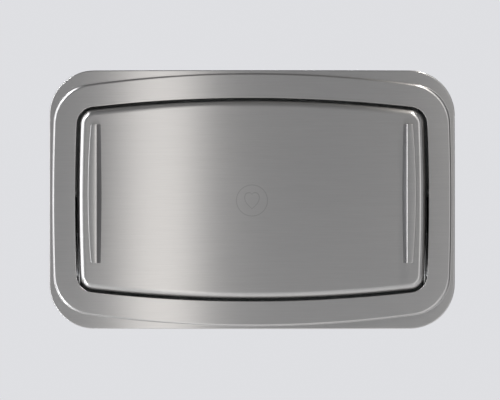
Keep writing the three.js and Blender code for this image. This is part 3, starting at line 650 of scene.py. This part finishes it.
def makeCradle():
    # Rings up the outer wall, over the rim, down the cradle's quarter ellipse
    # y = deck + rise * (1 - cos a), in by run * (1 - sin a), and in over the deck to its middle.
    front, rimY = trayLow[1], trayHigh[1]
    deckY = front + bed["wall"]
    r, o, run, rise = bed["rimRound"], bed["outerRound"], bed["cradleRun"], bed["cradleRise"]
    armBack = hingeY + bed["armDeep"]
    inset = bed["rimWide"] + run
    deckSize = (*[part - inset for part in traySize[:4]], bed["deckCorner"])
    rings = roundOver(ringAt(traySize, -o, front), ringAt(traySize, 0, front + o), 6, False)
    step, seat = bed["seatStep"], bed["seatFront"]
    rows = (seat - step, seat + step / 2, *bed["wallRows"], armBack, armBack + step * 2)
    rings += [ringAt(traySize, 0, y) for y in rows]
    rings += roundOver(ringAt(traySize, 0, rimY - r), ringAt(traySize, -r, rimY), 6)
    rings += roundOver(ringAt(deckSize, run + r * 0.7, rimY), ringAt(deckSize, run, deckY + rise), 5, False)
    turn = np.linspace(math.pi / 2, 0, 27)[1:]
    rings += [ringAt(deckSize, run * math.sin(a), deckY + rise * (1 - math.cos(a))) for a in turn]
    deckEdge = ringAt(deckSize, 0, deckY)
    centre = np.array([middle[0], deckY, centreZ])
    rings += [centre + (deckEdge - centre) * share for share in (0.97, 0.85, 0.6, 0.3, 0.08)]
    grid = np.stack(rings)
    # Flat seats for the hinge arms: x is held inside the arms' inner faces.
    face = doorHigh[0] - bed["armInset"]
    inSeat = ((grid[..., 1] > seat) & (grid[..., 1] < armBack + step)
              & (grid[..., 2] < hingeZ + bed["armTop"]))
    grid[..., 0] = np.where(inSeat, np.clip(grid[..., 0], -face, face), grid[..., 0])
    piece = loftPiece("bedCradle", list(grid), poles=(None, centre))
    piece.data.flip_normals()
    shell = piece.modifiers.new("wall", "SOLIDIFY")
    shell.thickness = bed["wall"] - bed["clear"]
    shell.offset = -1
    return piece


cradle = makeCradle()
finishPiece(cradle, "bed", ["bed_tray"], greyPlastic, 40, False)
print("bed made")

# Pieces that keep their solids, with soft edges.


def refined(node, body, material, edge=0.0004, segments=2, degrees=38):
    # A merged copy of the node's own solid with its sharp edges bevelled.
    piece = bpy.data.objects.new(node + "Edged", frame["nodes"][node].data.copy())
    bpy.context.scene.collection.objects.link(piece)
    sheet = bmesh.new()
    sheet.from_mesh(piece.data)
    bmesh.ops.remove_doubles(sheet, verts=sheet.verts, dist=2e-6)
    bmesh.ops.dissolve_limit(sheet, angle_limit=math.radians(0.5), verts=sheet.verts, edges=sheet.edges)
    sheet.to_mesh(piece.data)
    sheet.free()
    for layer in list(piece.data.uv_layers):
        piece.data.uv_layers.remove(layer)
    bevel = piece.modifiers.new("soft edges", "BEVEL")
    bevel.width = edge
    bevel.segments = segments
    bevel.limit_method = "ANGLE"
    bevel.angle_limit = math.radians(degrees)
    bevel.harden_normals = True  # keeps the large flats flat in the light
    return finishPiece(piece, body, [node], material, degrees, False)


def bothSides(name):
    return [name + "_left", name + "_right"]


refinedPieces = [
    (["wall_box"], "frame", "galvanised_steel", zinc, 0.0005),
    (["back_panel"], "frame", "grey_plastic", greyPlastic, 0.0008),
    ([*bothSides("hinge_bracket"), *bothSides("hinge_bolt_upper"), *bothSides("hinge_bolt_lower"),
      *bothSides("strut_bracket"), "lid_hinge_pin"], "frame", "plated_steel", plated, 0.0004),
    (bothSides("hinge_bush"), "frame", "dark_plastic", darkPlastic, 0.0002),
    (["liner_dispenser"], "frame", "dark_plastic", darkPlastic, 0.0006),
    (["liner_pack"], "frame", "paper", paper, 0.0012),
    (bothSides("bag_hook"), "frame", "brushed_steel", plated, 0.0008),
    (bothSides("bumper"), "frame", "black_rubber", rubber, 0.0012),
    ([*bothSides("hinge_arm"), *bothSides("hinge_pin"), *bothSides("retaining_ring"),
      *bothSides("arm_screw_upper"), *bothSides("arm_screw_lower"), *bothSides("crank_nut"),
      "strap_anchor_lower", "strap_anchor_upper", "buckle_base"], "bed", "plated_steel", plated, 0.0003),
    (["dispenser_lid"], "liner_lid", "dark_plastic", darkPlastic, 0.0006),
    (["lock_barrel"], "liner_lid", "plated_steel", plated, 0.0003),
    (["lock_plug"], "lock", "plated_steel", plated, 0.0002),
    (["cam_lever"], "buckle_lever", "dark_plastic", darkPlastic, 0.0006),
    (["crank_stud_left"], "rod_left", "plated_steel", plated, 0.0003),
    (["crank_stud_right"], "rod_right", "plated_steel", plated, 0.0003),
]
for nodes, body, slot, material, edge in refinedPieces:
    for node in nodes:
        refined(node, body, material, edge)
print("fittings made")

# Gas struts.

strut = {
    "barrel": 0.009, "bore": 0.0046, "rod": 0.004, "eye": 0.009, "eyeHalf": 0.004, "eyeHole": 0.0044,
    "neck": 0.005, "capGap": 0.003, "edge": 0.0008,
    "grooveDeep": 0.0006, "grooveLow": 0.0034, "grooveHigh": 0.006,  # a groove round the barrel's foot
    "seal": 0.004, "collar": 0.008, "collarEnd": 0.0095, "inBarrel": 0.060,
}


def eyeRing(centre):
    # A short tube about X with rounded rims.
    e, h, hole, soft = strut["eye"], strut["eyeHalf"], strut["eyeHole"], strut["edge"]
    profile = filletPath([(hole, -h), (e, -h), (e, h), (hole, h)], [soft] * 4, 3)
    profile = np.concatenate([profile, profile[:1]])
    points, faces = turned(profile, centre, (1, 0, 0), 36)
    return points, faces


def makeStrut(side):
    name = "right" if side > 0 else "left"
    pivot = np.array(joints["strut_pivot_" + name]["pos_m"])
    up = np.array(joints["strut_slide_" + name]["axis"], float)
    up /= np.linalg.norm(up)
    rodLow = boxOf("strut_rod_" + name)[0]
    eye, soft = strut["eye"], strut["edge"]
    reach = (pivot[2] - rodLow[2] - eye) / up[2]
    barrelLow, barrelHigh = boxOf("strut_cylinder_" + name)
    foot = (pivot[2] - barrelLow[2] - strut["barrel"] * abs(up[1])) / up[2]
    top = eye + strut["capGap"]
    b = strut["barrel"]
    grooveLow, grooveHigh, inGroove = strut["grooveLow"], strut["grooveHigh"], b - strut["grooveDeep"]
    bore, seal = strut["bore"], -foot + strut["seal"]
    barrel = turned([
        (0, -eye * 0.5), (strut["neck"], -eye * 0.5), (strut["neck"], -top + 0.001), (b - soft, -top),
        (b, -top - soft), (b, -foot + grooveHigh), (inGroove, -foot + grooveHigh - soft),
        (inGroove, -foot + grooveLow + soft), (b, -foot + grooveLow), (b, -foot + soft), (b - soft, -foot),
        (bore, -foot), (bore, seal), (0, seal)], pivot, up)
    points, faces = joined(barrel, eyeRing(pivot))
    piece = meshOf("strutBarrel_" + name, points, faces)
    finishPiece(piece, "strut_" + name, ["strut_cylinder_" + name], blackPaint, 40)
    end = pivot - up * reach
    rodTop = -foot + strut["inBarrel"]
    rod = turned([
        (0, -reach + eye * 0.5), (strut["neck"], -reach + eye * 0.5),
        (strut["neck"], -reach + eye + strut["collar"]), (strut["rod"], -reach + eye + strut["collarEnd"]),
        (strut["rod"], rodTop), (0, rodTop)], pivot, up)
    points, faces = joined(rod, eyeRing(end))
    piece = meshOf("strutRod_" + name, points, faces)
    finishPiece(piece, "rod_" + name, ["strut_rod_" + name], polished, 40)


for side in (1, -1):
    makeStrut(side)
print("struts made")

# Strap.

strap = {
    "width": 0.050, "thick": 0.0016, "edge": 0.0007, "stitch": 0.0028, "thread": 0.00035,
    "overBuckle": 0.0019, "riseStart": 0.012, "riseEnd": 0.001,
    "seamUpper": (0.006, 0.010, 0.018), "seamLower": (0.006, 0.010),  # distances from the anchor plates
}


def ribbon(name, path, body, node):
    # A flat section with round edges carried along a path in the YZ plane:
    # point = path(t) + a * X + b * normal(t), the map's u along the path and v across.
    path = np.array(path, float)
    tangent = np.gradient(path, axis=0)
    tangent /= np.linalg.norm(tangent, axis=1)[:, None]
    normal = np.stack([tangent[:, 1], -tangent[:, 0]], 1)
    half, thin, edge = strap["width"] / 2, strap["thick"] / 2, strap["edge"]
    section = filletPath([(-half, -thin), (half, -thin), (half, thin), (-half, thin)], [edge] * 4, 4)
    across = np.linspace(-half + edge, half - edge, 14)[1:-1]
    section = np.concatenate([
        section[:5], np.stack([across, np.full(12, -thin)], 1), section[5:15],
        np.stack([across[::-1], np.full(12, thin)], 1), section[15:]])
    grid = np.zeros((len(path), len(section), 3))
    grid[..., 0] = middle[0] + section[None, :, 0]
    grid[..., 1:] = path[:, None, :] + section[None, :, 1:2] * normal[:, None, :]
    length = np.concatenate([[0], np.cumsum(np.linalg.norm(np.diff(path, axis=0), axis=1))])
    columns = len(section)
    faces = gridFaces(len(path), columns)
    faces.append(list(range(columns)))
    faces.append([(len(path) - 1) * columns + i for i in range(columns)][::-1])
    uv = np.stack(np.broadcast_arrays(length[:, None], section[None, :, 0]), -1).reshape(-1, 2)
    piece = meshOf(name, grid.reshape(-1, 3), faces, uv)
    return finishPiece(piece, body, [node], webCloth, 50)


def stitches(name, rows, y, body):
    # Short thread beads: each is a ring of eight points swept over five sections, set out
    # as centre + (x * length, radius * cos a, radius * sin a) from arrays.
    turn = np.linspace(0, 2 * math.pi, 8, endpoint=False)
    reach = np.array([-1.0, -0.55, 0.0, 0.55, 1.0])
    fat = np.array([0.25, 0.85, 1.0, 0.85, 0.25])
    bead = np.stack(np.broadcast_arrays(
        reach[:, None] * strap["stitch"] / 2,
        fat[:, None] * np.cos(turn)[None] * strap["thread"],
        fat[:, None] * np.sin(turn)[None] * strap["thread"]), -1).reshape(-1, 3)
    face = gridFaces(5, 8) + [list(range(8)), [32 + i for i in range(8)][::-1]]
    across = np.arange(-strap["width"] / 2 + 0.005, strap["width"] / 2 - 0.004, strap["stitch"] * 1.35)
    centres = np.array([[middle[0] + x, y, z] for z in rows for x in across])
    parts = [(bead + centre, face) for centre in centres]
    piece = meshOf(name, *joined(*parts))
    faceOutwards(piece)
    smooth(piece, 60)
    piece.data.materials.append(threadMaterial)
    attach(piece, body)


threadMaterial = mouldedPlastic("sewing thread", {
    "colour": (0.30, 0.30, 0.31), "tint": (0.24, 0.24, 0.25), "scuff": (0.36, 0.36, 0.36),
    "roughness": 0.7, "grain": 900.0, "bump": 0.4, "wear": 0.2})
lowerLow, lowerHigh = boxOf("strap_lower")
upperLow, upperHigh = boxOf("strap_upper")
buckleHigh = boxOf("buckle_base")[1]
rest = lowerLow[1] + strap["thick"] / 2
fixedPath = np.stack([np.full(40, rest), np.linspace(lowerLow[2], lowerHigh[2], 40)], 1)
ribbon("strapFixed", fixedPath, "bed", "strap_lower")


def strapPath():
    # Depth along the free half: flat on the deck, up over the buckle's plate in a smooth step
    # (3t^2 - 2t^3), and back down on top of the fixed half.
    z = np.linspace(upperHigh[2], upperLow[2], 150)
    over = rest + strap["overBuckle"]

    def step(value, start, end):
        t = np.clip((value - start) / (end - start), 0, 1)
        return t * t * (3 - 2 * t)

    rise = step(z, buckleHigh[2] + strap["riseStart"], buckleHigh[2] + strap["riseEnd"])
    y = rest + (over - rest) * rise
    return np.stack([y, z], 1)


ribbon("strapFree", strapPath(), "bed", "strap_upper")
plateLow, plateHigh = boxOf("strap_anchor_upper")
seam = rest + strap["thick"] / 2 + strap["thread"] * 0.3
stitches("strapSeamUpper", [plateLow[2] - away for away in strap["seamUpper"]], seam, "bed")
plateLow, plateHigh = boxOf("strap_anchor_lower")
stitches("strapSeamLower", [plateHigh[2] + away for away in strap["seamLower"]], seam, "bed")


screw = {"shank": 0.0029, "headTall": 0.0026, "driveDeep": 0.0017}


def panHead(name, node, sign, body):
    # A shank and a domed head with a cone sunk in its middle, turned about the screw's own line.
    low, high = boxOf(node)
    centre = (low + high) / 2
    radius = (high[0] - low[0]) / 2
    base = low[1] if sign > 0 else high[1]
    top = high[1] - low[1]
    shank, tall, drive = screw["shank"], screw["headTall"], screw["driveDeep"]
    head = turned([
        (0, 0), (shank, 0), (shank, top - tall), (radius, top - tall), (radius, top - tall * 0.55),
        (radius * 0.9, top - tall * 0.2), (radius * 0.6, top), (radius * 0.42, top - 0.0002),
        (radius * 0.34, top - drive), (0, top - drive - 0.0002)],
        (centre[0], base, centre[2]), (0, sign, 0), 28)
    piece = meshOf(name, *head)
    finishPiece(piece, body, [node], plated, 35)


panHead("anchorScrewUpper", "anchor_screw_upper", 1, "bed")
panHead("anchorScrewLower", "anchor_screw_lower", 1, "bed")
print("strap made")

# Stage, light and camera.


def makeFloor():
    # A flat pale square well below the unit, with a faint cloudy tone.
    reach, level = studio["floorReach"], studio["floorLevel"]
    corners = [(-reach, -reach, level), (reach, -reach, level), (reach, reach, level), (-reach, reach, level)]
    mesh = bpy.data.meshes.new("paleFloor")
    mesh.from_pydata(corners, [], [(0, 1, 2, 3)])
    piece = bpy.data.objects.new("paleFloor", mesh)
    bpy.context.scene.collection.objects.link(piece)
    shader = Shader("pale floor", studio["floorColour"], 0.0, 0.7, Emission_Strength=studio["floorGlow"])
    shader.set(shader.bsdf, "Emission Color", (*studio["floorColour"], 1))
    cloud = shader.noise(1.3, 4.0)
    shader.set(shader.bsdf, "Base Color", shader.mix(shader.range(cloud, 0, 1, 0.35, 0.65),
                                                     [c * 0.96 for c in studio["floorColour"]],
                                                     studio["floorColour"]))
    piece.data.materials.append(shader.material)


def aim(thing, target):
    direction = Vector(target) - thing.location
    thing.rotation_euler = direction.to_track_quat("-Z", "Y").to_euler()


def softbox(name, place, target, width, height, power, colour):
    lamp = bpy.data.lights.new(name, "AREA")
    lamp.shape = "RECTANGLE"
    lamp.size, lamp.size_y = width, height
    lamp.energy = power
    lamp.color = colour
    thing = bpy.data.objects.new(name, lamp)
    thing.location = place
    bpy.context.scene.collection.objects.link(thing)
    aim(thing, target)
    thing.visible_camera = False


def makeWorld():
    # The camera sees a plain pale tone. Everything else sees a soft room: a ramp over the
    # direction's x, from -1 to 1, dimmed overhead and behind.
    world = bpy.data.worlds.new("studio")
    world.use_nodes = True
    nodes, links = world.node_tree.nodes, world.node_tree.links
    split = nodes.new("ShaderNodeSeparateXYZ")
    links.new(nodes.new("ShaderNodeTexCoord").outputs["Generated"], split.inputs[0])
    place = nodes.new("ShaderNodeMapRange")
    links.new(split.outputs[0], place.inputs["Value"])
    place.inputs["From Min"].default_value = -1.0
    ramp = nodes.new("ShaderNodeValToRGB")
    links.new(place.outputs[0], ramp.inputs[0])
    stops = studio["room"]
    while len(ramp.color_ramp.elements) < len(stops):
        ramp.color_ramp.elements.new(0.5)
    for element, (x, tone) in zip(ramp.color_ramp.elements, stops):
        element.position = (x + 1) / 2
        element.color = (tone * 0.985, tone, tone * 1.025, 1)
    upright = nodes.new("ShaderNodeMapRange")
    rise = nodes.new("ShaderNodeMath")
    rise.operation = "ABSOLUTE"
    links.new(split.outputs[2], rise.inputs[0])
    links.new(rise.outputs[0], upright.inputs["Value"])
    for socket, value in zip(("From Min", "From Max", "To Min", "To Max"), studio["overhead"]):
        upright.inputs[socket].default_value = value
    behind = nodes.new("ShaderNodeMapRange")
    links.new(split.outputs[1], behind.inputs["Value"])
    for socket, value in zip(("From Min", "From Max", "To Min", "To Max"), studio["behind"]):
        behind.inputs[socket].default_value = value
    strength = nodes.new("ShaderNodeMath")
    strength.operation = "MULTIPLY"
    links.new(upright.outputs[0], strength.inputs[0])
    links.new(behind.outputs[0], strength.inputs[1])
    room = nodes["Background"]
    links.new(ramp.outputs[0], room.inputs[0])
    links.new(strength.outputs[0], room.inputs[1])
    seen = nodes.new("ShaderNodeBackground")
    seen.inputs[0].default_value = (*studio["backdrop"], 1)
    both = nodes.new("ShaderNodeMixShader")
    links.new(nodes.new("ShaderNodeLightPath").outputs["Is Camera Ray"], both.inputs[0])
    links.new(room.outputs[0], both.inputs[1])
    links.new(seen.outputs[0], both.inputs[2])
    links.new(both.outputs[0], nodes["World Output"].inputs[0])
    bpy.context.scene.world = world


studio = {
    "floorLevel": -0.95, "floorReach": 5.0, "floorColour": (0.86, 0.865, 0.87), "floorGlow": 0.3,
    "backdrop": (0.735, 0.74, 0.765),
    "room": [(-1.0, 2.4), (-0.78, 2.4), (-0.70, 0.24), (-0.3, 0.25), (0.3, 0.30), (0.44, 0.8), (0.57, 0.8),
             (0.63, 0.05), (0.75, 0.05), (0.79, 0.5), (0.88, 0.5), (0.92, 0.01)],
    "overhead": (0.35, 0.9, 1.0, 0.35),
    "behind": (0.0, 0.35, 1.0, 0.2),
    # A lamp's name, place (x, y, height over the unit's middle), the x it is aimed at, width,
    # height, power and colour.
    "lamps": [
        ("leftStrip", -0.245, -1.1, 0.0, -0.22, 0.19, 2.36, 1.58, (1.0, 0.975, 0.94)),
        ("rightStrip", 0.8, -1.2, 0.0, 0.6, 0.25, 2.36, 1.1, (1.0, 0.985, 0.96)),
        ("cornerLampHigh", -1.6, -1.0, 1.6, 0.0, 0.5, 0.5, 16, (0.96, 0.98, 1.0)),
        ("cornerLampLow", -1.6, -1.0, -1.1, 0.0, 0.5, 0.4, 10, (0.96, 0.98, 1.0)),
        ("keyLamp", 0.75, -0.62, 1.3, 0.3, 0.1, 0.1, 6, (1.0, 0.96, 0.9)),
        ("backFill", 0.3, 3.0, 0.6, 0.0, 1.6, 1.2, 60, (1.0, 1.0, 1.0)),
    ],
}
makeFloor()
makeWorld()
for name, x, y, rise, aimX, width, height, power, colour in studio["lamps"]:
    softbox(name, (x, y, centreZ + rise), (aimX, 0, centreZ), width, height, power, colour)

view = {"distance": 7.0, "width": 1.1613, "aside": -0.0046, "below": 0.0009, "sensor": 36.0}
lens = bpy.data.cameras.new("camera")
lens.sensor_width = view["sensor"]
lens.lens = view["sensor"] * view["distance"] / view["width"]
lens.clip_end = 60.0
camera = bpy.data.objects.new("camera", lens)
camera.location = (view["aside"], trimLow[1] - view["distance"], centreZ - view["below"])
camera.rotation_euler = (math.radians(90), 0, 0)
bpy.context.scene.collection.objects.link(camera)
bpy.context.scene.camera = camera
bpy.context.scene.view_settings.view_transform = "Standard"
print("stage, light and camera made")
